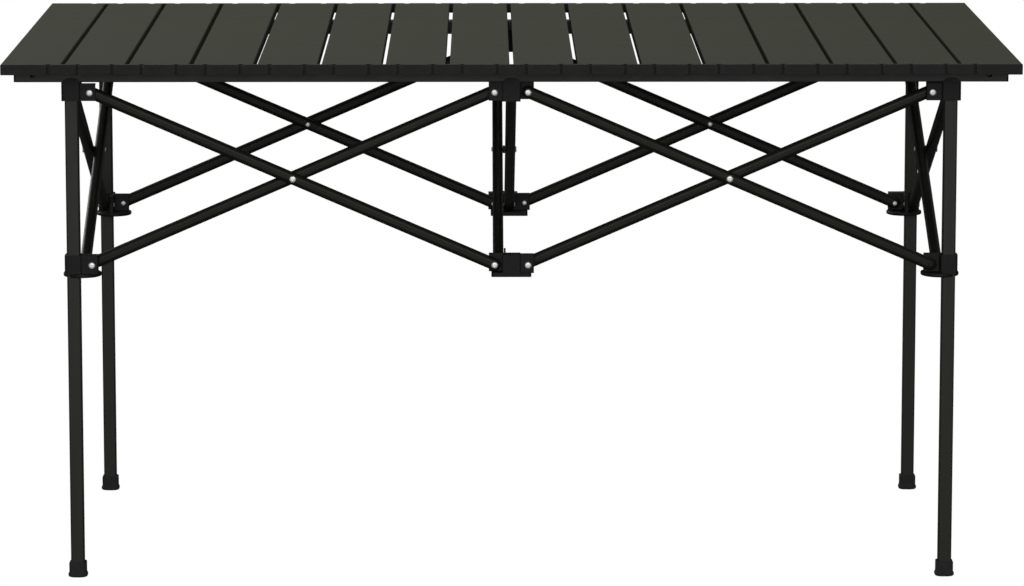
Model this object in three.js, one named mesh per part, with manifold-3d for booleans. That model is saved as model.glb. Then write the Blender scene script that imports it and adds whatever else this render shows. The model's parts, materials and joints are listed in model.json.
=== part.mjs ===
// Folding picnic table: a roll-up top of aluminium slats on two loose rails, which sit on a frame of
// four square legs joined by seven scissor pairs. Millimetres, +Z up, origin on the floor under the
// middle of the table, +X along its length, the front at -Y.

import * as THREE from 'three';
import { mergeVertices } from 'three/addons/utils/BufferGeometryUtils.js';
import Module from 'manifold-3d';

const wasm = await Module();
wasm.setup();

// ---- Driving dimensions ----

const gap = 0.3; // between two pieces that rest on or pass each other

const top = { length: 1200, depth: 715, height: 632, thickness: 12.5, slats: 16, slatGap: 5 };
const channel = { wall: 1.3, lip: 14 };
const endCap = { plate: 6, insert: 28, linkWidth: 34.4 };

const rail = { length: 1184, width: 17, wall: 1.3, height: 17.7 };
const railHole = { fromEnd: 23, radius: 3.6 };

const leg = { x: 524, y: 267, size: 16, wall: 1.2, corner: 2, top: 598.2 };
const sleeve = { size: 21, corner: 3 };
const foot = { base: 4.5, size: 23.5, cup: 20.5, height: 18, floor: 5 };

const upper = { pivot: 589, low: 579.4, tabLow: 579.4, tabHigh: 599.2, top: 601.2, lid: 2.5 };
const lower = { pivot: 381, low: 371.2, high: 393.2, flangeLow: 366.2 };
const flange = { radius: 22.1, offset: 10.3 };
const lip = { width: 18, height: 5.2, thickness: 1.6 };

const arm = { height: 14.4, thickness: 12.9, wall: 1.3, round: 3.8 };
const pin = { radius: 2.5, hole: 3, headRadius: 3.9, headHeight: 1.3, tailRadius: 3.1, tailHeight: 1 };

// Distances from a leg's or a middle bracket's axis to the pivots of its arms.
const legPivotX = 22;
const midPivotX = 20;
const pivotY = 26;

// Layers counted from a leg's axis towards the inside of the table, across the arms' thickness.
const outerLayer = { from: -8, to: -8 + arm.thickness };
const frontInnerLayer = { from: 5.3, to: 5.3 + arm.thickness };
const sideInnerLayer = { from: 5.6, to: 5.6 + arm.thickness };
const cheek = { from: -10.5, to: outerLayer.from - gap };
const tab = { reach: 7.2, thickness: 5.3, root: 8.5 };

const mid = { half: 11, depth: 10.5, armHalf: 27, innerTab: { x: -7.85, thickness: 2.2 } };
const midLow = { low: 371.6, high: 393.6, plateLow: 367, plateHalf: 24 };
const middleArmX = { lowToHigh: -15.7, highToLow: 0 };

// Every scissor arm spans the same run and the same rise, so the legs stay upright as they fold.
const rise = upper.pivot - lower.pivot;
const longRun = leg.x - legPivotX - midPivotX;
const sideRun = 2 * (leg.y - pivotY);
const armLength = Math.hypot(longRun, rise);

// ---- Colours ----

const colours = {
  slat: new THREE.MeshStandardMaterial({ color: 0x45463d, roughness: 0.6, metalness: 0.5 }),
  rail: new THREE.MeshStandardMaterial({ color: 0x262624, roughness: 0.55, metalness: 0.5 }),
  tube: new THREE.MeshStandardMaterial({ color: 0x2d2d29, roughness: 0.5, metalness: 0.5 }),
  plastic: new THREE.MeshStandardMaterial({ color: 0x1d1d1d, roughness: 0.6, metalness: 0 }),
  rivet: new THREE.MeshStandardMaterial({ color: 0xc9cac6, roughness: 0.3, metalness: 0.9 }),
  rubber: new THREE.MeshStandardMaterial({ color: 0x1a1a1a, roughness: 0.9, metalness: 0 }),
};

// ---- Solids ----

function solidOf(geometry) {
  const bare = geometry.clone();
  bare.deleteAttribute('normal');
  bare.deleteAttribute('uv');
  const merged = mergeVertices(bare, 1e-4);
  const vertProperties = new Float32Array(merged.attributes.position.array);
  const triVerts = new Uint32Array(merged.index.array);
  return new wasm.Manifold(new wasm.Mesh({ numProp: 3, vertProperties, triVerts }));
}

function geometryOf(solid) {
  const mesh = solid.getMesh();
  const geometry = new THREE.BufferGeometry();
  geometry.setAttribute('position', new THREE.BufferAttribute(new Float32Array(mesh.vertProperties), 3));
  geometry.setIndex(new THREE.BufferAttribute(new Uint32Array(mesh.triVerts), 1));
  geometry.computeVertexNormals();
  return geometry;
}

function joined(solids) {
  return solids.reduce((whole, solid) => whole.add(solid));
}

function block([x0, x1], [y0, y1], [z0, z1]) {
  const geometry = new THREE.BoxGeometry(Math.abs(x1 - x0), Math.abs(y1 - y0), Math.abs(z1 - z0));
  geometry.translate((x0 + x1) / 2, (y0 + y1) / 2, (z0 + z1) / 2);
  return solidOf(geometry);
}

// A cylinder along one axis, given by its radius, its ends on that axis and its centre across it.
function rod(axis, radius, [from, to], [a, b], sides = 8) {
  const geometry = new THREE.CylinderGeometry(radius, radius, Math.abs(to - from), sides);
  const middle = (from + to) / 2;
  if (axis === 'x') {
    geometry.rotateZ(Math.PI / 2);
    geometry.translate(middle, a, b);
  } else if (axis === 'y') {
    geometry.translate(a, middle, b);
  } else {
    geometry.rotateX(Math.PI / 2);
    geometry.translate(a, b, middle);
  }
  return solidOf(geometry);
}

function roundedSquare(size, corner) {
  const half = size / 2;
  const flat = half - corner;
  const shape = new THREE.Shape();
  shape.moveTo(-flat, -half);
  shape.lineTo(flat, -half);
  shape.absarc(flat, -flat, corner, -Math.PI / 2, 0);
  shape.lineTo(half, flat);
  shape.absarc(flat, flat, corner, 0, Math.PI / 2);
  shape.lineTo(-flat, half);
  shape.absarc(-flat, flat, corner, Math.PI / 2, Math.PI);
  shape.lineTo(-half, -flat);
  shape.absarc(-flat, -flat, corner, Math.PI, 1.5 * Math.PI);
  return shape;
}

// A square bar with rounded corners standing on z0, as high as z1.
function squareBar(size, corner, z0, z1) {
  const geometry = new THREE.ExtrudeGeometry(roundedSquare(size, corner), {
    depth: z1 - z0,
    bevelEnabled: false,
    curveSegments: 1,
  });
  geometry.translate(0, 0, z0);
  return solidOf(geometry);
}

// ---- Roll-up top ----

const slatWidth = (top.length - (top.slats - 1) * top.slatGap) / top.slats;
const slatPitch = slatWidth + top.slatGap;
const slatUnder = top.height - top.thickness;

// The extruded channel: a flat top, two sides and two lips turned in underneath.
function channelShape() {
  const half = slatWidth / 2;
  const { wall, lip: turned } = channel;
  const shape = new THREE.Shape();
  shape.moveTo(-half, slatUnder);
  shape.lineTo(-half + turned, slatUnder);
  shape.lineTo(-half + turned, slatUnder + wall);
  shape.lineTo(-half + wall, slatUnder + wall);
  shape.lineTo(-half + wall, top.height - wall);
  shape.lineTo(half - wall, top.height - wall);
  shape.lineTo(half - wall, slatUnder + wall);
  shape.lineTo(half - turned, slatUnder + wall);
  shape.lineTo(half - turned, slatUnder);
  shape.lineTo(half, slatUnder);
  shape.lineTo(half, top.height);
  shape.lineTo(-half, top.height);
  shape.closePath();
  return shape;
}

// The plate on the end of a slat leaves room on each side for the flexible link to its neighbour,
// and runs out to the edge where there is no neighbour.
function slatSolid(index) {
  const half = slatWidth / 2;
  const tubeEnd = top.depth / 2 - endCap.plate;
  const geometry = new THREE.ExtrudeGeometry(channelShape(), { depth: 2 * tubeEnd, bevelEnabled: false });
  geometry.rotateX(Math.PI / 2);
  geometry.translate(0, tubeEnd, 0);
  const plateHalf = (slatPitch - endCap.linkWidth) / 2;
  const left = index === 0 ? -half : -plateHalf;
  const right = index === top.slats - 1 ? half : plateHalf;
  const height = [slatUnder, top.height];
  const ends = [-1, 1].flatMap((side) => [
    block([-half, half], [side * (tubeEnd - endCap.insert), side * tubeEnd], height),
    block([left, right], [side * tubeEnd, (side * top.depth) / 2], height),
  ]);
  return joined([solidOf(geometry), ...ends]);
}

// ---- Rails ----

function railSolid(outSide) {
  const half = rail.length / 2;
  const low = upper.top + gap;
  const middle = low + rail.height / 2;
  const across = rail.width / 2;
  const inner = across - rail.wall;
  const tube = block([-half, half], [-across, across], [low, low + rail.height]).subtract(
    block([-half - 1, half + 1], [-inner, inner], [low + rail.wall, low + rail.height - rail.wall]),
  );
  const through = [outSide * (inner - 1), outSide * (across + 1)];
  const holes = [-1, 1].map((end) => {
    return rod('y', railHole.radius, through, [end * (half - railHole.fromEnd), middle], 12);
  });
  return tube.subtract(joined(holes));
}

// ---- Legs and feet ----

function legSolid() {
  const bore = leg.size - 2 * leg.wall;
  const low = foot.floor + gap;
  return squareBar(leg.size, leg.corner, low, leg.top).subtract(
    squareBar(bore, leg.corner - leg.wall, low - 1, leg.top + 1),
  );
}

function footSolid() {
  const base = squareBar(foot.size, 6, 0, foot.base);
  const cup = squareBar(foot.cup, 3, foot.base - 1, foot.height);
  return base.add(cup).subtract(squareBar(leg.size + 2 * gap, leg.corner, foot.floor, foot.height + 1));
}

// ---- Corner brackets ----
// Built about a leg's axis. inX and inY are the directions, +1 or -1, towards the table's middle.
// Each of a bracket's two holders is a cheek outside its arm, a thick lug outside it, or a tab inside.

function layersOf(kind, innerLayer) {
  if (kind === 'lug') {
    return { armLayer: innerLayer, plate: [cheek.from, innerLayer.from - gap] };
  }
  const inside = outerLayer.to + gap;
  const plate = kind === 'cheek' ? [cheek.from, cheek.to] : [inside, inside + tab.thickness];
  return { armLayer: outerLayer, plate };
}

// A pin through the stack of plate and arm, with a head on its outer end and a smaller tail inside.
function pinSolid(axis, armLayer, plate, toward, [a, b]) {
  const outside = Math.min(armLayer.from - gap, plate[0]);
  const inside = Math.max(armLayer.to + gap, plate[1]);
  const headEnd = toward * (outside - pin.headHeight);
  const tailEnd = toward * (inside + pin.tailHeight);
  return joined([
    rod(axis, pin.radius, [headEnd, tailEnd], [a, b]),
    rod(axis, pin.headRadius, [headEnd, toward * outside], [a, b]),
    rod(axis, pin.tailRadius, [toward * inside, tailEnd], [a, b]),
  ]);
}

// The arm holder on the X side of a corner, its arm's pin running along Y.
function xHolder(kind, inX, inY, pivotZ, [zLow, zHigh], from, pivotX, reach) {
  const { armLayer, plate } = layersOf(kind, frontInnerLayer);
  const body = block([inX * from, inX * (pivotX + reach)], [inY * plate[0], inY * plate[1]], [zLow, zHigh]);
  return body.add(pinSolid('y', armLayer, plate, inY, [inX * pivotX, pivotZ]));
}

// The arm holder on the Y side of a corner, its arm's pin running along X.
function yHolder(kind, inX, inY, pivotZ, [zLow, zHigh]) {
  const { armLayer, plate } = layersOf(kind, sideInnerLayer);
  const reach = inY * (pivotY + tab.reach);
  const body = block([inX * plate[0], inX * plate[1]], [inY * tab.root, reach], [zLow, zHigh]);
  return body.add(pinSolid('x', armLayer, plate, inX, [inY * pivotY, pivotZ]));
}

// Two lips that stand up each side of the rail, with their tops rounded off.
function lipSolids() {
  const half = lip.width / 2;
  const shape = new THREE.Shape();
  shape.moveTo(-half, upper.top - 1);
  shape.lineTo(half, upper.top - 1);
  shape.lineTo(half, upper.top + lip.height * 0.4);
  shape.quadraticCurveTo(half * 0.8, upper.top + lip.height, 0, upper.top + lip.height);
  shape.quadraticCurveTo(-half * 0.8, upper.top + lip.height, -half, upper.top + lip.height * 0.4);
  shape.closePath();
  return [-1, 1].map((side) => {
    const geometry = new THREE.ExtrudeGeometry(shape, {
      depth: lip.thickness,
      bevelEnabled: false,
      curveSegments: 2,
    });
    geometry.rotateX(Math.PI / 2);
    geometry.translate(0, side * (rail.width / 2 + gap + lip.thickness / 2) + lip.thickness / 2, 0);
    return solidOf(geometry);
  });
}

function upperBracket([xKind, yKind], inX, inY) {
  const tabHeight = [upper.tabLow, upper.tabHigh];
  const shell = squareBar(sleeve.size, sleeve.corner, upper.low, upper.top);
  const bore = squareBar(leg.size + 2 * gap, leg.corner, upper.low - 1, upper.top - upper.lid);
  const parts = [
    shell,
    ...lipSolids(),
    xHolder(xKind, inX, inY, upper.pivot, tabHeight, tab.root, legPivotX, tab.reach),
    yHolder(yKind, inX, inY, upper.pivot, tabHeight),
  ];
  return joined(parts).subtract(bore);
}

function sliderBracket([xKind, yKind], inX, inY) {
  const centre = [inX * flange.offset, inY * flange.offset];
  const height = [lower.low - 0.5, lower.high];
  const parts = [
    squareBar(sleeve.size, sleeve.corner, lower.low - 1, lower.high),
    rod('z', flange.radius, [lower.flangeLow, lower.low], centre, 20),
    xHolder(xKind, inX, inY, lower.pivot, height, tab.root, legPivotX, tab.reach),
    yHolder(yKind, inX, inY, lower.pivot, height),
  ];
  const bore = squareBar(leg.size + 2 * gap, leg.corner, lower.flangeLow - 1, lower.high + 1);
  return joined(parts).subtract(bore);
}

// ---- Middle brackets ----
// Built about the middle of a long side. The inner tab carries one arm of the middle scissors.

function middleTab(inY, pivotZ, [zLow, zHigh], armCentre) {
  const { x, thickness } = mid.innerTab;
  const plate = [x - thickness / 2, x + thickness / 2];
  const layer = { from: armCentre - arm.thickness / 2, to: armCentre + arm.thickness / 2 };
  const reach = inY * (pivotY + tab.reach);
  const body = block(plate, [inY * (mid.depth - 1), reach], [zLow, zHigh]);
  return body.add(pinSolid('x', layer, plate, 1, [inY * pivotY, pivotZ]));
}

function middleBracket(kindLeft, kindRight, inY, level, armCentre) {
  const isTop = level === 'top';
  const pivotZ = isTop ? upper.pivot : lower.pivot;
  const height = isTop ? [upper.tabLow, upper.top] : [midLow.low, midLow.high];
  const blockHeight = isTop ? [upper.low - 1, upper.top] : [midLow.low - 1, midLow.high];
  const from = mid.half - 1;
  const reach = mid.armHalf - midPivotX;
  const parts = [
    block([-mid.half, mid.half], [-mid.depth, mid.depth], blockHeight),
    xHolder(kindLeft, -1, inY, pivotZ, height, from, midPivotX, reach),
    xHolder(kindRight, 1, inY, pivotZ, height, from, midPivotX, reach),
    middleTab(inY, pivotZ, height, armCentre),
  ];
  if (isTop) {
    parts.push(...lipSolids());
  } else {
    const plateY = [inY * -mid.depth, inY * (pivotY + tab.reach)];
    parts.push(block([-midLow.plateHalf, midLow.plateHalf], plateY, [midLow.plateLow, midLow.low]));
  }
  return joined(parts);
}

// ---- Scissor arms ----
// An arm lies along +X from its first pivot, its thickness along Y. It is a tube with closed round
// ends, drilled through at both ends and in the middle.

function stadium(length, height) {
  const radius = height / 2;
  const shape = new THREE.Shape();
  shape.moveTo(0, -radius);
  shape.lineTo(length, -radius);
  shape.absarc(length, 0, radius, -Math.PI / 2, Math.PI / 2);
  shape.lineTo(0, radius);
  shape.absarc(0, 0, radius, Math.PI / 2, 1.5 * Math.PI);
  return shape;
}

function stadiumBar(height, thickness, round, endSegments) {
  const geometry = new THREE.ExtrudeGeometry(stadium(armLength, height - 2 * round), {
    depth: thickness - 2 * round,
    bevelThickness: round,
    bevelSize: round,
    bevelSegments: 1,
    curveSegments: endSegments,
  });
  geometry.rotateX(Math.PI / 2);
  geometry.translate(0, thickness / 2 - round, 0);
  return solidOf(geometry);
}

function armSolid() {
  const { height, thickness, wall, round } = arm;
  const tube = stadiumBar(height, thickness, round, 2).subtract(
    stadiumBar(height - 2 * wall, thickness - 2 * wall, round - wall, 1),
  );
  const across = [-thickness, thickness];
  const holes = [0, 0.5, 1].map((part) => rod('y', pin.hole, across, [part * armLength, 0]));
  return tube.subtract(joined(holes));
}

// The rivet where two arms cross, with a collar that fills the space between them. Local Y runs
// through the arms, from the outer one at 0 inwards.
function crossRivetSolid(spacing) {
  const half = arm.thickness / 2;
  const outer = -half - gap;
  const inner = spacing + half + gap;
  const headEnd = outer - pin.headHeight;
  const tailEnd = inner + pin.tailHeight;
  const parts = [
    rod('y', pin.radius, [headEnd, tailEnd], [0, 0]),
    rod('y', pin.headRadius, [headEnd, outer], [0, 0]),
    rod('y', pin.tailRadius, [inner, tailEnd], [0, 0]),
  ];
  const collar = [half + gap, spacing - half - gap];
  if (collar[1] - collar[0] > gap) {
    parts.push(rod('y', pin.headRadius + 1, collar, [0, 0]));
  }
  return joined(parts);
}

// ---- Assembly ----

const table = new THREE.Group();

function addMesh(name, geometry, material, parent = table) {
  const mesh = new THREE.Mesh(geometry, material);
  mesh.name = name;
  parent.add(mesh);
  return mesh;
}

function at(x, y, z = 0) {
  const group = new THREE.Group();
  group.position.set(x, y, z);
  table.add(group);
  return group;
}

const twoDigits = (number) => String(number).padStart(2, '0');

for (let index = 0; index < top.slats; index += 1) {
  const x = (index - (top.slats - 1) / 2) * slatPitch;
  addMesh(`slat_${twoDigits(index + 1)}`, geometryOf(slatSolid(index)), colours.slat, at(x, 0));
}

// Each bracket has the kind of its holder along X, then of its holder along Y. The rear pairs are the
// front pairs turned half a turn about the vertical, and the right pair mirrors the left one.
const corners = [
  { name: 'front_left', inX: 1, inY: 1, upper: ['cheek', 'cheek'], slider: ['lug', 'lug'] },
  { name: 'front_right', inX: -1, inY: 1, upper: ['lug', 'cheek'], slider: ['tab', 'lug'] },
  { name: 'rear_right', inX: -1, inY: -1, upper: ['cheek', 'lug'], slider: ['lug', 'tab'] },
  { name: 'rear_left', inX: 1, inY: -1, upper: ['lug', 'lug'], slider: ['tab', 'tab'] },
];

const legGeometry = geometryOf(legSolid());
const footGeometry = geometryOf(footSolid());

for (const corner of corners) {
  const { name, inX, inY } = corner;
  const place = at(-inX * leg.x, -inY * leg.y);
  addMesh(`leg_${name}`, legGeometry, colours.tube, place);
  addMesh(`foot_${name}`, footGeometry, colours.rubber, place);
  addMesh(`upper_bracket_${name}`, geometryOf(upperBracket(corner.upper, inX, inY)), colours.plastic, place);
  addMesh(`slider_${name}`, geometryOf(sliderBracket(corner.slider, inX, inY)), colours.plastic, place);
}

// Each middle bracket is met from one side by an inner arm, on a lug, and from the other by an outer
// arm, on a tab.
const sides = [
  { name: 'front', inY: 1 },
  { name: 'rear', inY: -1 },
];

for (const side of sides) {
  const { name, inY } = side;
  const place = at(0, -inY * leg.y);
  const lugSide = -inY;
  const topKinds = lugSide < 0 ? ['lug', 'tab'] : ['tab', 'lug'];
  const lowKinds = [...topKinds].reverse();
  const topArm = inY > 0 ? middleArmX.highToLow : middleArmX.lowToHigh;
  const lowArm = inY > 0 ? middleArmX.lowToHigh : middleArmX.highToLow;
  const topSolid = middleBracket(...topKinds, inY, 'top', topArm);
  const lowSolid = middleBracket(...lowKinds, inY, 'low', lowArm);
  addMesh(`top_middle_bracket_${name}`, geometryOf(topSolid), colours.plastic, place);
  addMesh(`low_middle_bracket_${name}`, geometryOf(lowSolid), colours.plastic, place);
  addMesh(`rail_${name}`, geometryOf(railSolid(-inY)), colours.rail, place);
}

const armGeometry = geometryOf(armSolid());

// An arm from one pivot to another, its thickness along the given direction.
function placeArm(name, from, to, across, geometry = armGeometry, material = colours.tube) {
  const along = new THREE.Vector3().subVectors(to, from).normalize();
  const up = new THREE.Vector3().crossVectors(along, across);
  const mesh = addMesh(name, geometry, material);
  mesh.quaternion.setFromRotationMatrix(new THREE.Matrix4().makeBasis(along, across, up));
  mesh.position.copy(from);
}

const point = (x, y, z) => new THREE.Vector3(x, y, z);
const middleOf = (layer) => (layer.from + layer.to) / 2;

// A scissor pair between two uprights. Both arms' ends are high at one upright and low at the other.
// Along is the horizontal run from the first upright's pivots to the second's, across the horizontal
// direction from the outer arm to the inner arm.
function placePair(name, start, along, across, spacing, outerStartsHigh) {
  const end = start.clone().add(along);
  const raised = point(0, 0, rise);
  const high = { start: start.clone().add(raised), end: end.clone().add(raised) };
  const shift = across.clone().multiplyScalar(spacing);
  const down = [high.start, end];
  const climb = [start, high.end];
  const [outer, inner] = outerStartsHigh ? [down, climb] : [climb, down];
  placeArm(`arm_${name}_outer`, outer[0].clone(), outer[1].clone(), across);
  placeArm(`arm_${name}_inner`, inner[0].clone().add(shift), inner[1].clone().add(shift), across);
  const crossing = start.clone().add(high.end).multiplyScalar(0.5);
  const rivet = geometryOf(crossRivetSolid(spacing));
  placeArm(`cross_rivet_${name}`, crossing, crossing.clone().add(along), across, rivet, colours.rivet);
}

const frontSpacing = frontInnerLayer.from - outerLayer.from;
const sideSpacing = sideInnerLayer.from - outerLayer.from;

for (const side of sides) {
  const inY = side.inY;
  const across = point(0, inY, 0);
  const y = inY * (middleOf(outerLayer) - leg.y);
  for (const half of [-1, 1]) {
    const name = `${side.name}_${half < 0 ? 'left' : 'right'}`;
    const startX = half < 0 ? -(midPivotX + longRun) : midPivotX;
    placePair(name, point(startX, y, lower.pivot), point(longRun, 0, 0), across, frontSpacing, inY > 0);
  }
}

for (const half of [-1, 1]) {
  const across = point(-half, 0, 0);
  const start = point(half * (leg.x - middleOf(outerLayer)), pivotY - leg.y, lower.pivot);
  placePair(half < 0 ? 'left' : 'right', start, point(0, sideRun, 0), across, sideSpacing, true);
}

const middleStart = point(middleArmX.highToLow, pivotY - leg.y, lower.pivot);
const middleSpacing = middleArmX.highToLow - middleArmX.lowToHigh;
placePair('middle', middleStart, point(0, sideRun, 0), point(-1, 0, 0), middleSpacing, true);

export default table;
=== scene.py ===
# Folding picnic table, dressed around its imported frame: roll-up top, rails, scissor frame and legs.
# Shapes are worked out in millimetres and scaled to metres when their mesh is made.

import json
import math
from types import SimpleNamespace as Group

import bmesh
import bpy
from mathutils import Matrix, Vector


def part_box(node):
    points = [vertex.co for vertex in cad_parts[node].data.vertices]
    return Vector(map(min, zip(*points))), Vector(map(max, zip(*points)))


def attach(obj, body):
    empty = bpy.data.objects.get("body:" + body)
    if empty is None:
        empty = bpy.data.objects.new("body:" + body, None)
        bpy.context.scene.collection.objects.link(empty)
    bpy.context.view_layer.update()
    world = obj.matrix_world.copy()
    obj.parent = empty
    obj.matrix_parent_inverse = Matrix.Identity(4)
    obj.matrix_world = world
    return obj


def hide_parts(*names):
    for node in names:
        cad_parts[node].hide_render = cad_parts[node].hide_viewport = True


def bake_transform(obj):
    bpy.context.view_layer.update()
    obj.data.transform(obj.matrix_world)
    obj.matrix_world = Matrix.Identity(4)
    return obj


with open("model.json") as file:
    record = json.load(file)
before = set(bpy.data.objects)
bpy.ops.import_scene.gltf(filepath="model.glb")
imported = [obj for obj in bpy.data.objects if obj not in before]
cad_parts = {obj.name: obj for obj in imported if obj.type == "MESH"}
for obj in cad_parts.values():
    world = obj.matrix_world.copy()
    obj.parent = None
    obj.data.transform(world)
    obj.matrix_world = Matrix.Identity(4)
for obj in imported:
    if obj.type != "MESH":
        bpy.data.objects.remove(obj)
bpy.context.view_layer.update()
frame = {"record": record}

# ---- Driving dimensions, in millimetres ----

MM = 0.001
GAP = 0.3  # between two pieces that rest on or pass each other
SINK = 0.5  # how far one solid of a piece reaches into the next, so that they join

slat = Group(count=16, wall=1.3, lip=14, edge=1.2, low_edge=0.8, lip_edge=0.4, fillet=0.3)
rib = Group(x=18, thickness=1.2, drop=6)
cap = Group(plate=6, flange=1, half=19.3, corner=3.4, outer_corner=1.2, edge=0.35, fit=0.2)
cap_plug = Group(reach=28, fit=0.1, corner=0.5, edge=0.2)
link = Group(half=15.9, columns=24, bend=8, edge=0.5, least_round=0.05)
rail = Group(wall=1.3, corner=2, inner_corner=1, hole=3.6, hole_from_end=23)
rail_plug = Group(face=2, reach=18, fit=0.2, edge=0.6)
leg = Group(size=16, wall=1.2, corner=2, top=598.2)
sleeve = Group(upper=23.2, size=21, corner=3)
foot = Group(base=23.5, cup=20.5, height=18, floor=5, edge=0.25)
upper = Group(pivot=589, low=579.4, tab_high=600.4, top=601.2, lid=2.5, roof=2, roof_depth=4)
lower = Group(pivot=381, low=371.2, high=393.2, flange_low=366.2)
flange = Group(radius=22.9, offset=9.5)
lip = Group(half=10.5, height=5.8, thickness=1.6)
arm = Group(height=14.4, thickness=12.9, round=5)
pin = Group(radius=2.5, hole=2.7, head=3.9, head_height=1.3, tail=3.1, tail_height=1)
washer = Group(past_head=1, fit=0.1, edge=0.1)
tab = Group(reach=7.2, thickness=5.3)
middle = Group(half=11, depth=10.5, corner=1.5, arm_half=27, tab_x=-7.85, tab_thickness=2.2, nib=2.6)
middle_low = Group(low=371.6, high=393.6, plate_low=367, plate_half=24, plate_corner=3)
middle_arm_x = Group(low_to_high=-15.7, high_to_low=0)

LEG_PIVOT_X = 22
MID_PIVOT_X = 20
PIVOT_Y = 26
FRONT_END = LEG_PIVOT_X + tab.reach  # where a corner's holders end, along X and along Y
SIDE_END = PIVOT_Y + tab.reach

# Layers counted from a leg's axis towards the inside of the table, across the arms' thickness.
OUTER = (-8, -8 + arm.thickness)
FRONT_INNER = (5.3, 5.3 + arm.thickness)
SIDE_INNER = (5.6, 5.6 + arm.thickness)
CHEEK = (-10.2, OUTER[0] - GAP)
LUG_FACE = -9
HOLDER_EDGE = 0.7  # the rounding of a holder's upright edges
MOULD_EDGE = 0.5  # the bevel on the moulded brackets

# ---- Places, from the frame ----

BODY_OF = {
    node: body
    for body, nodes in frame["record"]["behaviour"]["bodies"].items()
    for node in nodes
}


def box_mm(node):
    low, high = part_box(node)
    return low / MM, high / MM


def centre_mm(node):
    low, high = box_mm(node)
    return (low + high) / 2


slat_low, slat_high = box_mm("slat_02")
slat_half = (slat_high.x - slat_low.x) / 2
half_depth = slat_high.y
tube_end = half_depth - cap.plate
leg_axis = Vector((abs(centre_mm("leg_front_left").x), abs(centre_mm("leg_front_left").y), 0))
rail_low, rail_high = box_mm("rail_front")
rail_middle = (rail_low + rail_high) / 2
rise = upper.pivot - lower.pivot
long_run = leg_axis.x - LEG_PIVOT_X - MID_PIVOT_X
side_run = 2 * (leg_axis.y - PIVOT_Y)
arm_length = math.hypot(long_run, rise)

# ---- Materials ----


def new_material(name, roughness, metallic, specular):
    material = bpy.data.materials.new(name)
    material.use_nodes = True
    shader = material.node_tree.nodes["Principled BSDF"]
    shader.inputs["Roughness"].default_value = roughness
    shader.inputs["Metallic"].default_value = metallic
    shader.inputs["Specular IOR Level"].default_value = specular
    return material, shader


def add_node(material, kind, **inputs):
    node = material.node_tree.nodes.new(kind)
    for name, value in inputs.items():
        node.inputs[name.replace("_", " ")].default_value = value
    return node


def connect(material, source, target):
    material.node_tree.links.new(source, target)


def place_coordinates(material, stretch=(1, 1, 1)):
    """Coordinates fixed to the piece, in metres, stretched along its own axes."""
    texture = add_node(material, "ShaderNodeTexCoord")
    mapping = add_node(material, "ShaderNodeMapping", Scale=stretch)
    connect(material, texture.outputs["Object"], mapping.inputs["Vector"])
    return mapping.outputs["Vector"]


def noise(material, vector, scale, detail=2.0):
    node = add_node(material, "ShaderNodeTexNoise", Scale=scale, Detail=detail)
    connect(material, vector, node.inputs["Vector"])
    return node.outputs["Fac"]


def vary_colour(material, shader, factor, dark, light):
    ramp = add_node(material, "ShaderNodeValToRGB")
    ramp.color_ramp.elements[0].position = 0.3
    ramp.color_ramp.elements[0].color = (*dark, 1)
    ramp.color_ramp.elements[1].position = 0.7
    ramp.color_ramp.elements[1].color = (*light, 1)
    connect(material, factor, ramp.inputs["Fac"])
    connect(material, ramp.outputs["Color"], shader.inputs["Base Color"])


def vary_roughness(material, shader, factor, low, high):
    spread = add_node(material, "ShaderNodeMapRange", To_Min=low, To_Max=high)
    connect(material, factor, spread.inputs["Value"])
    connect(material, spread.outputs["Result"], shader.inputs["Roughness"])


def add_bump(material, shader, height, depth, strength=0.5):
    bump = add_node(material, "ShaderNodeBump", Strength=strength, Distance=depth)
    connect(material, height, bump.inputs["Height"])
    connect(material, bump.outputs["Normal"], shader.inputs["Normal"])


def scaled(colour, factor):
    return tuple(channel * factor for channel in colour)


def slat_coat():
    """Matt olive-grey powder coat with the fine pebbling of sprayed powder."""
    colour = (0.0325, 0.034, 0.023)
    material, shader = new_material("slat_powder_coat", 0.75, 0, 0.08)
    place = place_coordinates(material)
    vary_colour(material, shader, noise(material, place, 9, 4), scaled(colour, 0.96), scaled(colour, 1.04))
    vary_roughness(material, shader, noise(material, place, 60, 3), 0.7, 0.82)
    add_bump(material, shader, noise(material, place, 1400, 3), 0.00008)
    return material


def rail_coat_painted_light():
    """Matt black powder coat, a little smoother than the slats', its colour painted lighter than the legs'
    to stand in for the light that the top's overhang keeps off the rail.
    """
    # Painted light: this colour is lifted well above the legs' to make up for the shadow the top casts on
    # the rail.
    colour = (0.072, 0.071, 0.064)
    material, shader = new_material("rail_powder_coat_painted_light", 0.6, 0, 0.2)
    place = place_coordinates(material)
    vary_colour(material, shader, noise(material, place, 12, 3), scaled(colour, 0.9), scaled(colour, 1.1))
    vary_roughness(material, shader, noise(material, place, 80, 3), 0.52, 0.68)
    add_bump(material, shader, noise(material, place, 1100, 2), 0.00005)
    return material


def tube_coat(name, colour, specular, along):
    """Satin dark coat on drawn tube, whose faint streaks run along the tube."""
    material, shader = new_material(name, 0.42, 0, specular)
    streaks = place_coordinates(material, along)
    place = place_coordinates(material)
    vary_colour(material, shader, noise(material, streaks, 1, 3), scaled(colour, 0.9), scaled(colour, 1.1))
    vary_roughness(material, shader, noise(material, place, 70, 3), 0.36, 0.5)
    add_bump(material, shader, noise(material, place, 900, 2), 0.00004)
    return material


def moulded_plastic(name, colour):
    """Black moulded plastic with the spark-eroded grain of its mould."""
    material, shader = new_material(name, 0.55, 0, 0.2)
    place = place_coordinates(material)
    grain = add_node(material, "ShaderNodeTexVoronoi", Scale=1600.0)
    connect(material, place, grain.inputs["Vector"])
    vary_colour(material, shader, noise(material, place, 40, 3), scaled(colour, 0.85), scaled(colour, 1.15))
    vary_roughness(material, shader, noise(material, place, 220, 2), 0.48, 0.64)
    add_bump(material, shader, grain.outputs["Distance"], 0.00006)
    return material


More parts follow.
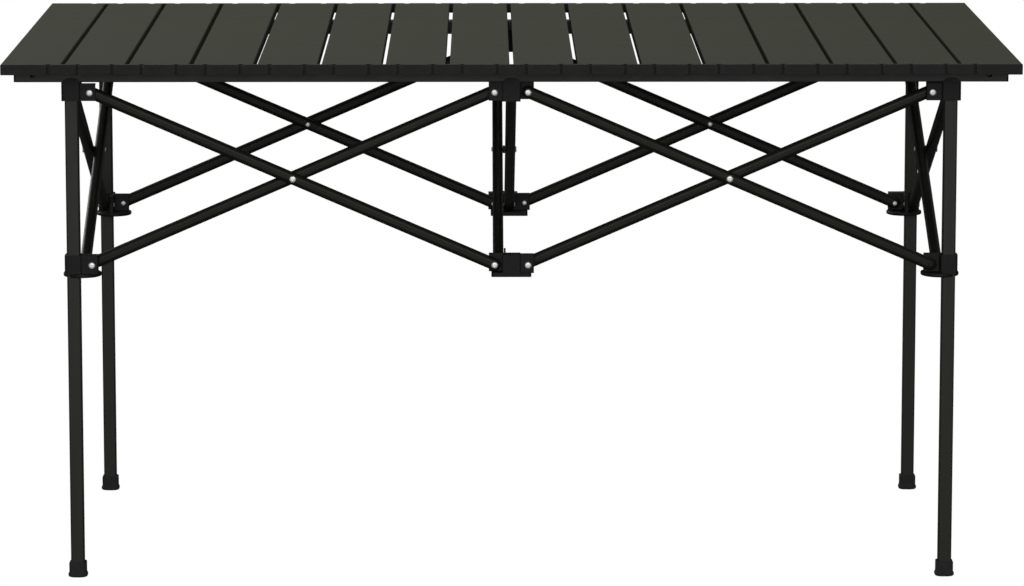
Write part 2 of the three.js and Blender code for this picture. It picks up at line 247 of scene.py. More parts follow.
def link_elastomer():
    """The softer, duller black of the flexible links."""
    colour = (0.023, 0.023, 0.022)
    material, shader = new_material("link_elastomer", 0.72, 0, 0.2)
    place = place_coordinates(material)
    vary_colour(material, shader, noise(material, place, 90, 3), scaled(colour, 0.9), scaled(colour, 1.1))
    vary_roughness(material, shader, noise(material, place, 300, 2), 0.66, 0.8)
    add_bump(material, shader, noise(material, place, 1800, 2), 0.00004)
    return material


def foot_rubber():
    """Dull black rubber, slightly scuffed."""
    colour = (0.028, 0.028, 0.028)
    material, shader = new_material("foot_rubber", 0.85, 0, 0.2)
    place = place_coordinates(material)
    scuffs = noise(material, place, 130, 5)
    vary_colour(material, shader, scuffs, scaled(colour, 0.85), scaled(colour, 1.3))
    vary_roughness(material, shader, scuffs, 0.75, 0.95)
    add_bump(material, shader, noise(material, place, 700, 4), 0.0001)
    return material


def rivet_steel():
    """Bright zinc-plated steel, faintly mottled."""
    colour = (0.93, 0.93, 0.91)
    material, shader = new_material("rivet_steel", 0.45, 0.6, 0.5)
    place = place_coordinates(material)
    vary_colour(material, shader, noise(material, place, 400, 3), scaled(colour, 0.92), scaled(colour, 1.05))
    vary_roughness(material, shader, noise(material, place, 900, 3), 0.38, 0.52)
    add_bump(material, shader, noise(material, place, 1500, 2), 0.00003)
    return material


materials = Group(
    slat=slat_coat(),
    # The rail's coat is painted lighter, standing in for light that the top's overhang keeps off it.
    rail=rail_coat_painted_light(),
    leg=tube_coat("leg_satin_coat", (0.026, 0.027, 0.0205), 0.24, (260, 260, 6)),
    arm=tube_coat("arm_satin_coat", (0.0135, 0.014, 0.0102), 0.15, (6, 260, 260)),
    plastic=moulded_plastic("moulded_plastic", (0.0105, 0.0105, 0.0103)),
    cap=moulded_plastic("cap_plastic", (0.0125, 0.0125, 0.012)),
    # Near-black insert plastic: painted shade for the seams between caps and links, where its flange shows.
    insert=moulded_plastic("insert_plastic_painted_shade", (0.004, 0.004, 0.004)),
    link=link_elastomer(),
    rubber=foot_rubber(),
    steel=rivet_steel(),
)

# ---- Outlines ----


def rounded(corners, steps=4):
    """An outline from corners (a, b, radius), with each corner turned on its radius."""
    outline = []
    for index, (a, b, radius) in enumerate(corners):
        here = Vector((a, b))
        before = (Vector(corners[index - 1][:2]) - here).normalized()
        after = (Vector(corners[(index + 1) % len(corners)][:2]) - here).normalized()
        if radius <= 0:
            outline.append((a, b))
            continue
        half = before.angle(after) / 2
        centre = here + (before + after).normalized() * (radius / math.sin(half))
        start = here + before * (radius / math.tan(half)) - centre
        end = here + after * (radius / math.tan(half)) - centre
        turn = math.atan2(start.x * end.y - start.y * end.x, start.dot(end))
        first = math.atan2(start.y, start.x)
        for step in range(steps + 1):
            angle = first + turn * step / steps
            outline.append((centre.x + radius * math.cos(angle), centre.y + radius * math.sin(angle)))
    return outline


def rectangle(a, b, radius=0.0, steps=4):
    corners = [(a[0], b[0], radius), (a[1], b[0], radius), (a[1], b[1], radius), (a[0], b[1], radius)]
    return rounded(corners, steps)


def square(size, corner, steps=4):
    return rectangle((-size / 2, size / 2), (-size / 2, size / 2), corner, steps)


def circle(radius, sides=24, centre=(0, 0)):
    angles = [2 * math.pi * side / sides for side in range(sides)]
    return [(centre[0] + radius * math.cos(t), centre[1] + radius * math.sin(t)) for t in angles]


def dome(half, base, height, sides=12):
    """Half an ellipse standing on a base."""
    angles = [math.pi * side / sides for side in range(sides + 1)]
    return [(half * math.cos(t), base + height * math.sin(t)) for t in angles]


# ---- Solids ----

ALONG = {
    "x": lambda a, b, t: (t, a, b),
    "y": lambda a, b, t: (a, t, b),
    "z": lambda a, b, t: (a, b, t),
}


def loft(rings):
    """A closed solid skinned over rings of points, with flat ends."""
    solid = bmesh.new()
    rows = [[solid.verts.new(point) for point in ring] for ring in rings]
    solid.faces.new(rows[0])
    solid.faces.new(rows[-1])
    for low, high in zip(rows, rows[1:]):
        for index in range(len(low)):
            after = (index + 1) % len(low)
            solid.faces.new((low[index], low[after], high[after], high[index]))
    bmesh.ops.recalc_face_normals(solid, faces=solid.faces)
    return solid


def prism(outline, axis, ends):
    place = ALONG[axis]
    return loft([[place(a, b, end) for a, b in outline] for end in ends])


def block(x, y, z, radius=0.0):
    """A block with its upright edges rounded."""
    return prism(rectangle(sorted(x), sorted(y), radius), "z", z)


def tube(outer, inner, axis, ends):
    """An open-ended tube between two outlines that have as many points as each other."""
    place = ALONG[axis]
    solid = bmesh.new()
    rows = [
        [solid.verts.new(place(a, b, end)) for a, b in outline]
        for outline, end in ((outer, ends[0]), (outer, ends[1]), (inner, ends[1]), (inner, ends[0]))
    ]
    for row, following in zip(rows, rows[1:] + rows[:1]):
        for index in range(len(row)):
            after = (index + 1) % len(row)
            solid.faces.new((row[index], row[after], following[after], following[index]))
    bmesh.ops.recalc_face_normals(solid, faces=solid.faces)
    return solid


def lathe(profile, sides=28, centre=(0, 0)):
    """A solid turned about Z from (radius, z) points, closed at both ends."""
    return loft([[(x, y, z) for x, y in circle(radius, sides, centre)] for radius, z in profile])


def rod(axis, radius, ends, centre, sides=20):
    return prism(circle(radius, sides, centre), axis, ends)


# ---- Meshes ----


def loose_object(mesh):
    obj = bpy.data.objects.new("loose", mesh)
    bpy.context.scene.collection.objects.link(obj)
    return obj


def mesh_of(solid):
    mesh = bpy.data.meshes.new("loose")
    solid.to_mesh(mesh)
    solid.free()
    return mesh


def applied(obj):
    """The object's mesh with its modifiers applied. The object is removed."""
    bpy.context.view_layer.update()
    graph = bpy.context.evaluated_depsgraph_get()
    mesh = bpy.data.meshes.new_from_object(obj.evaluated_get(graph), depsgraph=graph)
    bpy.data.objects.remove(obj)
    return mesh


def combined(solids, cuts=()):
    """One closed solid out of solids that overlap, less the cuts."""
    base = loose_object(mesh_of(solids[0]))
    tools = []
    for operation, others in (("UNION", solids[1:]), ("DIFFERENCE", cuts)):
        for other in others:
            tool = loose_object(mesh_of(other))
            modifier = base.modifiers.new(operation, "BOOLEAN")
            modifier.operation = operation
            modifier.solver = "EXACT"
            modifier.object = tool
            tools.append(tool)
    mesh = applied(base)
    for tool in tools:
        bpy.data.objects.remove(tool)
    solid = bmesh.new()
    solid.from_mesh(mesh)
    bmesh.ops.remove_doubles(solid, verts=solid.verts, dist=0.001)
    bmesh.ops.dissolve_limit(solid, angle_limit=math.radians(1), verts=solid.verts, edges=solid.edges)
    return solid


def mirrored(solid, sign_x, sign_y):
    """The solid turned to face another corner."""
    bmesh.ops.scale(solid, vec=(sign_x, sign_y, 1), verts=solid.verts)
    bmesh.ops.recalc_face_normals(solid, faces=solid.faces)
    return solid


def finished(name, solid, material, bevel=0.0, segments=2, smooth=40):
    """A mesh in metres, with bevelled edges and shading that follows its faces."""
    obj = loose_object(mesh_of(solid))
    if bevel:
        modifier = obj.modifiers.new("edges", "BEVEL")
        modifier.width = bevel
        modifier.segments = segments
        modifier.limit_method = "ANGLE"
        modifier.angle_limit = math.radians(32)
        modifier.use_clamp_overlap = True
    mesh = applied(obj)
    mesh.polygons.foreach_set("use_smooth", [True] * len(mesh.polygons))
    mesh.set_sharp_from_angle(angle=math.radians(smooth))
    obj = loose_object(mesh)
    weighted = obj.modifiers.new("normals", "WEIGHTED_NORMAL")
    weighted.keep_sharp = True
    mesh = applied(obj)
    mesh.transform(Matrix.Scale(MM, 4))
    mesh.name = name
    mesh.materials.clear()
    mesh.materials.append(material)
    return mesh


def at(x, y, z=0.0, turn=0.0):
    """A place in millimetres, with a turn about Z in degrees."""
    return Matrix.Translation(Vector((x, y, z)) * MM) @ Matrix.Rotation(math.radians(turn), 4, "Z")


def frame_place(origin, along, across):
    """A place with local X along one direction and local Y across it."""
    along = along.normalized()
    up = along.cross(across)
    turn = Matrix((along, across, up)).transposed().to_4x4()
    return Matrix.Translation(origin * MM) @ turn


def pointing_place(origin, direction):
    """A place whose local Z points along a direction."""
    turn = Vector((0, 0, 1)).rotation_difference(direction).to_matrix().to_4x4()
    return Matrix.Translation(origin * MM) @ turn


def piece(name, mesh, body, place=None, stands_for=()):
    obj = bpy.data.objects.new(name, mesh)
    bpy.context.scene.collection.objects.link(obj)
    obj.matrix_world = place or Matrix()
    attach(obj, body)
    if stands_for:
        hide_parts(*stands_for)
    return obj


# ---- Roll-up top ----


def slat_outline():
    """The extruded channel: a flat top, two sides, two lips turned in and two ribs underneath."""
    low, high = slat_low.z, slat_high.z
    roof, floor = high - slat.wall, low + slat.wall
    half = slat_half
    rib_in, rib_out = rib.x - rib.thickness / 2, rib.x + rib.thickness / 2
    right = [
        (half, high, slat.edge),
        (half, low, slat.low_edge),
        (half - slat.lip, low, slat.lip_edge),
        (half - slat.lip, floor, slat.lip_edge),
        (half - slat.wall, floor, slat.fillet),
        (half - slat.wall, roof, slat.fillet),
        (rib_out, roof, slat.fillet),
        (rib_out, roof - rib.drop, slat.fillet),
        (rib_in, roof - rib.drop, slat.fillet),
        (rib_in, roof, slat.fillet),
    ]
    left = [(-a, b, radius) for a, b, radius in reversed(right)]
    return rounded(right + left, 3)


def cap_insert():
    """The hidden part of a front cap: three plugs in the channel and a thin flange over its end."""
    low, high = slat_low.z, slat_high.z
    inside = slat_half - slat.wall - cap.fit
    rib_side = rib.thickness / 2 + cap.fit
    plug_z = (low + slat.wall + cap_plug.fit, high - slat.wall - cap_plug.fit)
    plug_y = (-tube_end - SINK, -tube_end + cap_plug.reach)
    flange_y = (-tube_end - cap.flange, -tube_end)
    bays = [
        (-inside, -rib.x - rib_side),
        (-rib.x + rib_side, rib.x - rib_side),
        (rib.x + rib_side, inside),
    ]
    cover = prism(rectangle((-slat_half, slat_half), (low, high), slat.edge, 3), "y", flange_y)
    plugs = [prism(rectangle(bay, plug_z, cap_plug.corner, 2), "y", plug_y) for bay in bays]
    return combined([cover, *plugs])


def cap_plate(reach_left, reach_right):
    """The plate on the front of a cap, run out to the table's edge on a side with no neighbour."""
    low, high = slat_low.z, slat_high.z
    plate_y = (-half_depth, -tube_end - cap.flange + cap.fit)
    edge_left = cap.outer_corner if reach_left > cap.half else cap.corner
    edge_right = cap.outer_corner if reach_right > cap.half else cap.corner
    corners = [
        (-reach_left, low, edge_left),
        (reach_right, low, edge_right),
        (reach_right, high, edge_right),
        (-reach_left, high, edge_left),
    ]
    return prism(rounded(corners, 5), "y", plate_y)


def link_solid():
    """A flexible plate across one gap, cut into columns so that it can bend."""
    low, high = slat_low.z, slat_high.z
    depth = (-half_depth, -tube_end - cap.flange - GAP)
    corner = cap.corner
    inner = link.half - corner
    ends = [corner * (1 - math.cos(step * math.pi / 8)) for step in range(5)]
    middle_stops = [-inner + 2 * inner * step / link.columns for step in range(1, link.columns)]
    stops = [-link.half + end for end in ends] + middle_stops + [link.half - end for end in reversed(ends)]
    rings = []
    for x in stops:
        past_inner = max(abs(x) - inner, 0)
        trim = corner - math.sqrt(max(corner * corner - past_inner * past_inner, 0))
        trim = min(trim, corner - link.least_round)
        section = rectangle(depth, (low + trim, high - trim), link.edge, 2)
        rings.append([ALONG["x"](y, z, x) for y, z in section])
    return loft(rings)


def make_top():
    panel = finished("slat_panel", prism(slat_outline(), "y", (-tube_end, tube_end)), materials.slat)
    wide = slat_half
    caps = {
        "first": finished("end_cap_first", cap_plate(wide, cap.half), materials.cap, cap.edge),
        "inner": finished("end_cap_inner", cap_plate(cap.half, cap.half), materials.cap, cap.edge),
        "last": finished("end_cap_last", cap_plate(cap.half, wide), materials.cap, cap.edge),
    }
    turned = {"first": "last", "inner": "inner", "last": "first"}
    # The insert's flange shows through the seams, and its near-black colour is painted shade there.
    insert = finished("cap_insert", cap_insert(), materials.insert, cap_plug.edge)
    bridge = finished("link_plate", link_solid(), materials.link)
    for index in range(slat.count):
        number = f"{index + 1:02d}"
        body = f"slat_{number}"
        x = centre_mm(body).x
        kind = {0: "first", slat.count - 1: "last"}.get(index, "inner")
        piece(f"slat_panel_{number}", panel, body, at(x, 0), [body])
        piece(f"end_cap_front_{number}", caps[kind], body, at(x, 0))
        piece(f"end_cap_rear_{number}", caps[turned[kind]], body, at(x, 0, 0, 180))
        piece(f"cap_insert_front_{number}", insert, body, at(x, 0))
        piece(f"cap_insert_rear_{number}", insert, body, at(x, 0, 0, 180))
    for index in range(slat.count - 1):
        first, second = f"slat_{index + 1:02d}", f"slat_{index + 2:02d}"
        x = (centre_mm(first).x + centre_mm(second).x) / 2
        for side, turn in (("front", 0), ("rear", 180)):
            name = f"link_{side}_{index + 1:02d}_{index + 2:02d}"
            obj = bpy.data.objects.new(name, bridge.copy())
            bpy.context.scene.collection.objects.link(obj)
            obj.matrix_world = at(x, 0, 0, turn)
            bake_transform(obj)


# ---- Rails ----


def make_rails():
    half = rail_high.x
    across = (rail_high.y - rail_low.y) / 2
    height = (rail_low.z, rail_high.z)
    outer = rectangle((-across, across), height, rail.corner)
    inner_z = (height[0] + rail.wall, height[1] - rail.wall)
    inner_y = (-across + rail.wall, across - rail.wall)
    inner = rectangle(inner_y, inner_z, rail.inner_corner)
    metal = half - rail_plug.face
    hole_x = half - rail.hole_from_end
    outer_wall = (-across - 1, -across + 2.5)
    holes = [rod("y", rail.hole, outer_wall, (end * hole_x, rail_middle.z)) for end in (-1, 1)]
    shell = combined([tube(outer, inner, "x", (-metal, metal))], holes)
    mesh = finished("rail_tube", shell, materials.rail)
    stem_y = (inner_y[0] + rail_plug.fit, inner_y[1] - rail_plug.fit)
    stem_z = (inner_z[0] + rail_plug.fit, inner_z[1] - rail_plug.fit)
    stem = prism(rectangle(stem_y, stem_z, rail_plug.edge), "x", (metal - rail_plug.reach, metal + 1))
    face = prism(rectangle((-across, across), height, rail.corner), "x", (metal, half))
    plug = finished("rail_plug", combined([face, stem]), materials.plastic, rail_plug.edge, 3)
    for side, turn in (("front", 0), ("rear", 180)):
        body = f"rail_{side}"
        y = centre_mm(body).y
        piece(f"rail_tube_{side}", mesh, body, at(0, y, 0, turn), [body])
        piece(f"rail_plug_{side}_right", plug, body, at(0, y))
        piece(f"rail_plug_{side}_left", plug, body, at(0, y, 0, 180))


# ---- Legs and feet ----


def leg_tube():
    outer = square(leg.size, leg.corner)
    inner = square(leg.size - 2 * leg.wall, leg.corner - leg.wall)
    return tube(outer, inner, "z", (foot.floor + GAP, leg.top))


def foot_cap():
    """A moulded cup that flares out to a rounder base."""
    sections = [
        (0, foot.base - 2.6, 8),
        (0.5, foot.base - 1.1, 8),
        (1.5, foot.base - 0.2, 8),
        (2.6, foot.base, 8),
        (3.7, foot.base - 0.3, 7.6),
        (4.8, foot.cup + 1.0, 5.5),
        (6.0, foot.cup + 0.2, 3.8),
        (7.5, foot.cup, 3.2),
        (foot.height - 0.8, foot.cup, 3.2),
        (foot.height - 0.2, foot.cup - 0.5, 3.0),
        (foot.height, foot.cup - 1.3, 2.8),
    ]
    body = loft([[(x, y, z) for x, y in square(size, corner, 5)] for z, size, corner in sections])
    bore = prism(square(leg.size + 2 * GAP, leg.corner), "z", (foot.floor, foot.height + 1))
    return combined([body], [bore])


# ---- Corner brackets ----
# Built about a leg's axis, facing the table's middle in +X and +Y, and mirrored for other corners.


def layers_of(kind, inner_layer):
    """The arm's layer and the bracket plate's layer, for a cheek, a lug or a tab."""
    if kind == "lug":
        return inner_layer, (LUG_FACE, inner_layer[0] - GAP)
    if kind == "cheek":
        return OUTER, CHEEK
    inside = OUTER[1] + GAP
    return OUTER, (inside, inside + tab.thickness)


def lip_solids():
    """Two domed lips that stand up each side of the rail."""
    across = (rail_high.y - rail_low.y) / 2 + GAP
    outline = dome(lip.half, upper.top, lip.height) + [(-lip.half, upper.top - 1), (lip.half, upper.top - 1)]
    return [
        prism(outline, "y", sorted((side * across, side * (across + lip.thickness))))
        for side in (-1, 1)
    ]


def corner_holders(kinds, z):
    """The two arm holders of a corner bracket."""
    front = layers_of(kinds[0], FRONT_INNER)[1]
    side = layers_of(kinds[1], SIDE_INNER)[1]
    return [block((0, FRONT_END), front, z, HOLDER_EDGE), block(side, (0, SIDE_END), z, HOLDER_EDGE)]


def corner_bore(z):
    return prism(square(leg.size + 2 * GAP, leg.corner), "z", z)


def upper_bracket(kinds):
    solids = [
        prism(square(sleeve.upper, sleeve.corner), "z", (upper.low, upper.top)),
        *corner_holders(kinds, (upper.low, upper.tab_high)),
        *lip_solids(),
    ]
    roof_z = (upper.tab_high - upper.roof, upper.tab_high)
    roof_depth = (CHEEK[0], CHEEK[0] + upper.roof_depth)
    if kinds[0] == "cheek":
        solids.append(block((0, FRONT_END), roof_depth, roof_z))
    if kinds[1] == "cheek":
        solids.append(block(roof_depth, (0, SIDE_END), roof_z))
    return combined(solids, [corner_bore((upper.low - 1, upper.top - upper.lid))])


def slider_flange():
    """The round flange under a slider, thick at its rim."""
    low, high = lower.flange_low, lower.low
    radius = flange.radius
    profile = [
        (radius - 1.8, low),
        (radius - 0.6, low + 0.4),
        (radius, low + 1.4),
        (radius, high - 1.4),
        (radius - 0.5, high - 0.5),
        (radius - 1.5, high),
    ]
    return lathe(profile, 40, (flange.offset, flange.offset))


def slider_bracket(kinds):
    solids = [
        prism(square(sleeve.size, sleeve.corner), "z", (lower.low - 1, lower.high)),
        *corner_holders(kinds, (lower.low - SINK, lower.high)),
        slider_flange(),
    ]
    return combined(solids, [corner_bore((lower.flange_low - 1, lower.high + 1))])


# ---- Rivets ----


def rivet_solid(length, has_head=True):
    """A domed head with a dimple, a shank along +Z and a smaller peened tail."""
    radius, tail = pin.head, pin.tail
    high = pin.head_height
    head = [
        (0.35, -high + 0.3),
        (0.7, -high + 0.06),
        (1.1, -high),
        (2.2, -high + 0.06),
        (3.1, -high + 0.22),
        (3.6, -high + 0.5),
        (radius, -0.45),
        (radius, 0),
    ]
    flush = [(pin.radius - 0.3, 0.15), (pin.radius, 0.4)]
    far = length + pin.tail_height
    end = [(tail - 0.1, length), (tail, length + 0.15), (2.5, far - 0.2), (1.5, far), (0.7, far - 0.15)]
    start = head if has_head else flush
    return lathe([*start, (pin.radius, 0.5), (pin.radius, length), *end], 24)


rivet_meshes = {}


def rivet_mesh(length, has_head=True):
    key = (round(length, 2), has_head)
    if key not in rivet_meshes:
        material = materials.steel if has_head else materials.arm
        rivet_meshes[key] = finished(f"rivet_{len(rivet_meshes)}", rivet_solid(length, has_head), material)
    return rivet_meshes[key]


def span_of(arm_layer, plate):
    """Where a pin's head and tail seat, from outside to inside."""
    return min(arm_layer[0] - GAP, plate[0]), max(arm_layer[1] + GAP, plate[1])


def add_rivet(name, body, origin, inward, span, has_head=True):
    """A rivet through a stack that lies between two distances along the inward direction."""
    place = pointing_place(origin + inward * span[0], inward)
    piece(name, rivet_mesh(span[1] - span[0], has_head), body, place)


# ---- Corners ----

# Each bracket's holder along X, then along Y. The front and rear pairs match by half a turn about the
# vertical, and the side pairs mirror each other.
CORNERS = [
    ("front_left", 1, 1, ("cheek", "cheek"), ("lug", "lug")),
    ("front_right", -1, 1, ("lug", "cheek"), ("tab", "lug")),
    ("rear_right", -1, -1, ("cheek", "lug"), ("lug", "tab")),
    ("rear_left", 1, -1, ("lug", "lug"), ("tab", "tab")),
]


def corner_rivets(label, corner, in_x, in_y, kinds, level, body, flush_front=False):
    x, y = -in_x * leg_axis.x, -in_y * leg_axis.y
    front = span_of(*layers_of(kinds[0], FRONT_INNER))
    side = span_of(*layers_of(kinds[1], SIDE_INNER))
    front_at = Vector((x + in_x * LEG_PIVOT_X, y, level))
    side_at = Vector((x, y + in_y * PIVOT_Y, level))
    add_rivet(f"rivet_{label}_{corner}_x", body, front_at, Vector((0, in_y, 0)), front, not flush_front)
    add_rivet(f"rivet_{label}_{corner}_y", body, side_at, Vector((in_x, 0, 0)), side)


def make_corners():
    tube_mesh = finished("leg_tube", leg_tube(), materials.leg)
    foot_mesh = finished("foot_cap", foot_cap(), materials.rubber, foot.edge)
    for corner, in_x, in_y, top_kinds, low_kinds in CORNERS:
        place = at(-in_x * leg_axis.x, -in_y * leg_axis.y)
        leg_body, slider_body = f"leg_{corner}", f"slider_{corner}"
        piece(f"leg_tube_{corner}", tube_mesh, leg_body, place, [leg_body])
        piece(f"foot_cap_{corner}", foot_mesh, leg_body, place, [f"foot_{corner}"])
        top_solid = mirrored(upper_bracket(top_kinds), in_x, in_y)
        low_solid = mirrored(slider_bracket(low_kinds), in_x, in_y)
        top = finished(f"upper_bracket_{corner}", top_solid, materials.plastic, MOULD_EDGE)
        low = finished(f"slider_{corner}", low_solid, materials.plastic, MOULD_EDGE)
        piece(f"corner_mould_{corner}", top, leg_body, place, [f"upper_bracket_{corner}"])
        piece(f"slider_mould_{corner}", low, slider_body, place, [slider_body])
        corner_rivets("top", corner, in_x, in_y, top_kinds, upper.pivot, leg_body)
        flush = corner == "front_right"
        corner_rivets("slide", corner, in_x, in_y, low_kinds, lower.pivot, slider_body, flush)


# ---- Middle brackets ----


def middle_holder(kind, direction, z):
    plate = layers_of(kind, FRONT_INNER)[1]
    return block((0, direction * middle.arm_half), plate, z, HOLDER_EDGE)


def middle_tab(z, nib):
    """The inner tab that carries an arm of the middle scissors, with its top corners rounded."""
    half = middle.tab_thickness / 2
    top = z[1] + nib
    corners = [(0, z[0], 0), (SIDE_END, z[0], 2.5), (SIDE_END, top, 3.5), (0, top, 3)]
    return prism(rounded(corners), "x", (middle.tab_x - half, middle.tab_x + half))


def middle_bracket(kind_left, kind_right, is_top):
    """Built facing +Y. The rear one is this turned about Z, so its sides swap."""
    z = (upper.low, upper.top) if is_top else (middle_low.low, middle_low.high)
    body_z = (z[0] - 1, z[1])
    solids = [
        block((-middle.half, middle.half), (-middle.depth, middle.depth), body_z, middle.corner),
        middle_holder(kind_left, -1, z),
        middle_holder(kind_right, 1, z),
    ]
    if is_top:
        solids += lip_solids()
    else:
        half = middle_low.plate_half
        plate_y = (-middle.depth, SIDE_END)
        plate_z = (middle_low.plate_low, middle_low.low + SINK)
        solids.append(block((-half, half), plate_y, plate_z, middle_low.plate_corner))
    return solids, z


def make_middles():
    for side, in_y in (("front", 1), ("rear", -1)):
        for level in ("top", "low"):
            is_top = level == "top"
            kinds = ("lug", "tab") if is_top else ("tab", "lug")
            solids, z = middle_bracket(*kinds, is_top)
            solids = [mirrored(solid, in_y, in_y) for solid in solids]
            nib = 0 if is_top else middle.nib
            solids.append(mirrored(middle_tab(z, nib), 1, in_y))
            body = f"{side}_middle" if is_top else f"{side}_low_middle"
            node = f"{level}_middle_bracket_{side}"
            mesh = finished(node, combined(solids), materials.plastic, MOULD_EDGE)
            y = -in_y * leg_axis.y
            piece(f"middle_mould_{level}_{side}", mesh, body, at(0, y), [node])
            pivot = upper.pivot if is_top else lower.pivot
            for kind, direction in zip(kinds, (-in_y, in_y)):
                name = f"rivet_{level}_{side}_{'right' if direction > 0 else 'left'}"
                origin = Vector((direction * MID_PIVOT_X, y, pivot))
                add_rivet(name, body, origin, Vector((0, in_y, 0)), span_of(*layers_of(kind, FRONT_INNER)))
            carries_high = is_top == (in_y > 0)
            centre = middle_arm_x.high_to_low if carries_high else middle_arm_x.low_to_high
            layer = (centre - arm.thickness / 2, centre + arm.thickness / 2)
            half = middle.tab_thickness / 2
            span = span_of(layer, (middle.tab_x - half, middle.tab_x + half))
            origin = Vector((0, y + in_y * PIVOT_Y, pivot))
            add_rivet(f"rivet_{level}_{side}_inner", body, origin, Vector((1, 0, 0)), span)


# ---- Scissor arms ----


def arm_solid():
    """A bar with its long edges well rounded and round ends, drilled at both ends and in the middle."""
    half = arm.height / 2
    sides = 12
    turn = [math.pi * step / sides for step in range(sides + 1)]
    outline = [(arm_length + half * math.sin(t), -half * math.cos(t)) for t in turn]
    outline += [(-half * math.sin(t), half * math.cos(t)) for t in turn]
    thick = arm.thickness / 2
    bar = prism(outline, "y", (-thick, thick))
    rim = [edge for edge in bar.edges if abs(edge.verts[0].co.y - edge.verts[1].co.y) < 0.001]
    bmesh.ops.bevel(bar, geom=rim, offset=arm.round, segments=5, profile=0.5, affect="EDGES")
    through = (-arm.thickness, arm.thickness)
    holes = [rod("y", pin.hole, through, (part * arm_length, 0)) for part in (0, 0.5, 1)]
    return combined([bar], holes)


def washer_solid(low, high):
    outer = circle(pin.head + washer.past_head, 28)
    inner = circle(pin.hole, 28)
    return tube(outer, inner, "z", (low, high))


def make_pair(name, arm_mesh, start, along, across, spacing, outer_starts_high):
    """Two arms that cross between two uprights, with the rivet that joins them."""
    end = start + along
    raised = Vector((0, 0, rise))
    down, climb = (start + raised, end), (start, end + raised)
    outer, inner = (down, climb) if outer_starts_high else (climb, down)
    for layer, (first, last), offset in (("outer", outer, Vector()), ("inner", inner, across * spacing)):
        node = f"arm_{name}_{layer}"
        place = frame_place(first + offset, last - first, across)
        piece(f"scissor_{name}_{layer}", arm_mesh, BODY_OF[node], place, [node])
    node = f"cross_rivet_{name}"
    crossing = (start + end + raised) / 2
    half = arm.thickness / 2
    span = (-half - GAP, spacing + half + GAP)
    place = pointing_place(crossing + across * span[0], across)
    piece(f"crossing_{name}", rivet_mesh(span[1] - span[0]), BODY_OF[node], place, [node])
    between = (half + washer.fit, spacing - half - washer.fit)
    if between[1] - between[0] > GAP:
        ring = finished(f"washer_{name}", washer_solid(*between), materials.plastic, washer.edge)
        piece(f"washer_{name}", ring, BODY_OF[node], pointing_place(crossing, across))


def make_arms():
    mesh = finished("scissor_arm", arm_solid(), materials.arm)
    outer_middle = sum(OUTER) / 2
    spacing = FRONT_INNER[0] - OUTER[0]
    for side, in_y in (("front", 1), ("rear", -1)):
        y = in_y * (outer_middle - leg_axis.y)
        for half, direction in (("left", -1), ("right", 1)):
            start_x = -(MID_PIVOT_X + long_run) if direction < 0 else MID_PIVOT_X
            start = Vector((start_x, y, lower.pivot))
            along = Vector((long_run, 0, 0))
            make_pair(f"{side}_{half}", mesh, start, along, Vector((0, in_y, 0)), spacing, in_y > 0)
    along = Vector((0, side_run, 0))
    front_y = PIVOT_Y - leg_axis.y
    spacing = SIDE_INNER[0] - OUTER[0]
    for half, direction in (("left", -1), ("right", 1)):
        start = Vector((direction * (leg_axis.x - outer_middle), front_y, lower.pivot))
        make_pair(half, mesh, start, along, Vector((-direction, 0, 0)), spacing, True)
    start = Vector((middle_arm_x.high_to_low, front_y, lower.pivot))
    spacing = middle_arm_x.high_to_low - middle_arm_x.low_to_high
    make_pair("middle", mesh, start, along, Vector((-1, 0, 0)), spacing, True)


# ---- Stage, light and camera ----


def white_backdrop(tree, lit, white, output):
    """The camera sees the white shader, while the object is lit by the other one."""
    path = tree.nodes.new("ShaderNodeLightPath")
    mix = tree.nodes.new("ShaderNodeMixShader")
    tree.links.new(path.outputs["Is Camera Ray"], mix.inputs[0])
    tree.links.new(lit.outputs[0], mix.inputs[1])
    tree.links.new(white.outputs[0], mix.inputs[2])
    tree.links.new(mix.outputs[0], output.inputs["Surface"])


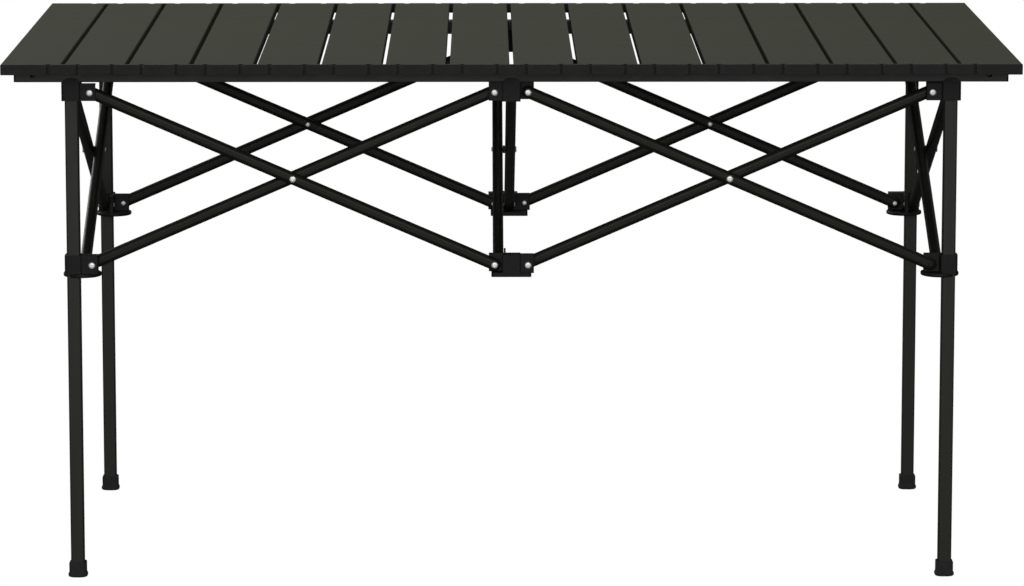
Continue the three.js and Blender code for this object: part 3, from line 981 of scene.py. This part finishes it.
def make_floor():
    material, shader = new_material("studio_floor", 0.9, 0, 0)
    shader.inputs["Base Color"].default_value = (0.06, 0.06, 0.06, 1)
    white = add_node(material, "ShaderNodeEmission", Color=(1, 1, 1, 1), Strength=1.0)
    tree = material.node_tree
    white_backdrop(tree, shader, white, tree.nodes["Material Output"])
    half = 40
    mesh = bpy.data.meshes.new("studio_floor")
    corners = [(-half, -half, 0), (half, -half, 0), (half, half, 0), (-half, half, 0)]
    mesh.from_pydata(corners, [], [(0, 1, 2, 3)])
    mesh.materials.append(material)
    floor = bpy.data.objects.new("studio_floor", mesh)
    bpy.context.scene.collection.objects.link(floor)
    floor.location.z = -0.0005


def add_light(name, place, target, size, power):
    data = bpy.data.lights.new(name, "AREA")
    data.shape = "DISK"
    data.size = size
    data.energy = power
    light = bpy.data.objects.new(name, data)
    light.location = place
    light.rotation_euler = (Vector(target) - Vector(place)).to_track_quat("-Z", "Y").to_euler()
    bpy.context.scene.collection.objects.link(light)


def make_light():
    """Dim light all round, broad lights from the front and above, and a rim light from the rear left."""
    world = bpy.data.worlds.new("studio")
    world.use_nodes = True
    tree = world.node_tree
    fill = tree.nodes["Background"]
    fill.inputs["Color"].default_value = (1, 1, 1, 1)
    fill.inputs["Strength"].default_value = 0.22
    white = tree.nodes.new("ShaderNodeBackground")
    white.inputs["Color"].default_value = (1, 1, 1, 1)
    white.inputs["Strength"].default_value = 1.0
    white_backdrop(tree, fill, white, tree.nodes["World Output"])
    bpy.context.scene.world = world
    add_light("front", (-0.2, -8, 1.9), (0, 0, 0.4), 4.0, 225)
    add_light("above", (0, 0.8, 4.0), (0, 0, 0.6), 3.0, 110)
    add_light("rim", (-3.0, 2.2, 1.7), (-0.5, 0, 0.45), 0.8, 60)


def make_camera():
    """A long lens from the front, a little above the table and looking slightly down."""
    data = bpy.data.cameras.new("camera")
    data.lens = 175.66
    data.sensor_width = 36
    data.clip_end = 100
    camera = bpy.data.objects.new("camera", data)
    camera.location = (-0.0333, -6.1864, 1.2945)
    camera.rotation_euler = (math.radians(90 - 9.103), 0, math.radians(-0.330))
    bpy.context.scene.collection.objects.link(camera)
    bpy.context.scene.camera = camera


bpy.context.scene.view_settings.view_transform = "Standard"
make_camera()
make_floor()
make_light()
make_top()
make_rails()
make_corners()
make_middles()
make_arms()
